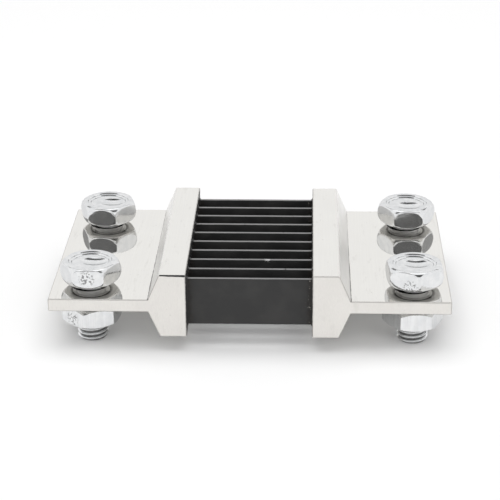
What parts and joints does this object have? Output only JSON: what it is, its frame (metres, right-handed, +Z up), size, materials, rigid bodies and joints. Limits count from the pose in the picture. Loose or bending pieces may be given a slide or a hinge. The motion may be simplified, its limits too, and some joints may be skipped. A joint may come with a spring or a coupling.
{
  "type": "current shunt resistor",
  "caption": "Current shunt: upright black resistance strips brazed between plated end blocks, each running out into a flat terminal lug with loose hexagon bolts and nuts.",
  "frame": {"origin": "on the surface that the bolt tips stand on, under the middle of the shunt", "axes": "+X along the current path from the left lug to the right lug, +Y from the front to the back, +Z up"},
  "size_m": [0.126, 0.075, 0.0266],
  "materials": {
    "plated_block": "bright nickel or tin plating over brass, finely brushed",
    "black_strip": "matt black paint, bare grey metal along the top edge",
    "braze": "brazing filler under black paint",
    "zinc_bolt": "bright zinc plating with a faint blue cast"
  },
  "bodies": {
    "root": {"end_block_left": "plated_block", "end_block_right": "plated_block", "braze_left": "braze", "braze_right": "braze", "resistor_strip_01": "black_strip", "resistor_strip_02": "black_strip", "resistor_strip_03": "black_strip", "resistor_strip_04": "black_strip", "resistor_strip_05": "black_strip", "resistor_strip_06": "black_strip", "resistor_strip_07": "black_strip", "resistor_strip_08": "black_strip", "resistor_strip_09": "black_strip", "resistor_strip_10": "black_strip", "terminal_bolt_front_left": "zinc_bolt", "terminal_bolt_front_right": "zinc_bolt", "terminal_bolt_back_left": "zinc_bolt", "terminal_bolt_back_right": "zinc_bolt", "terminal_nut_front_left": "zinc_bolt", "terminal_nut_front_right": "zinc_bolt", "terminal_nut_back_left": "zinc_bolt", "terminal_nut_back_right": "zinc_bolt"}
  },
  "joints": []
}
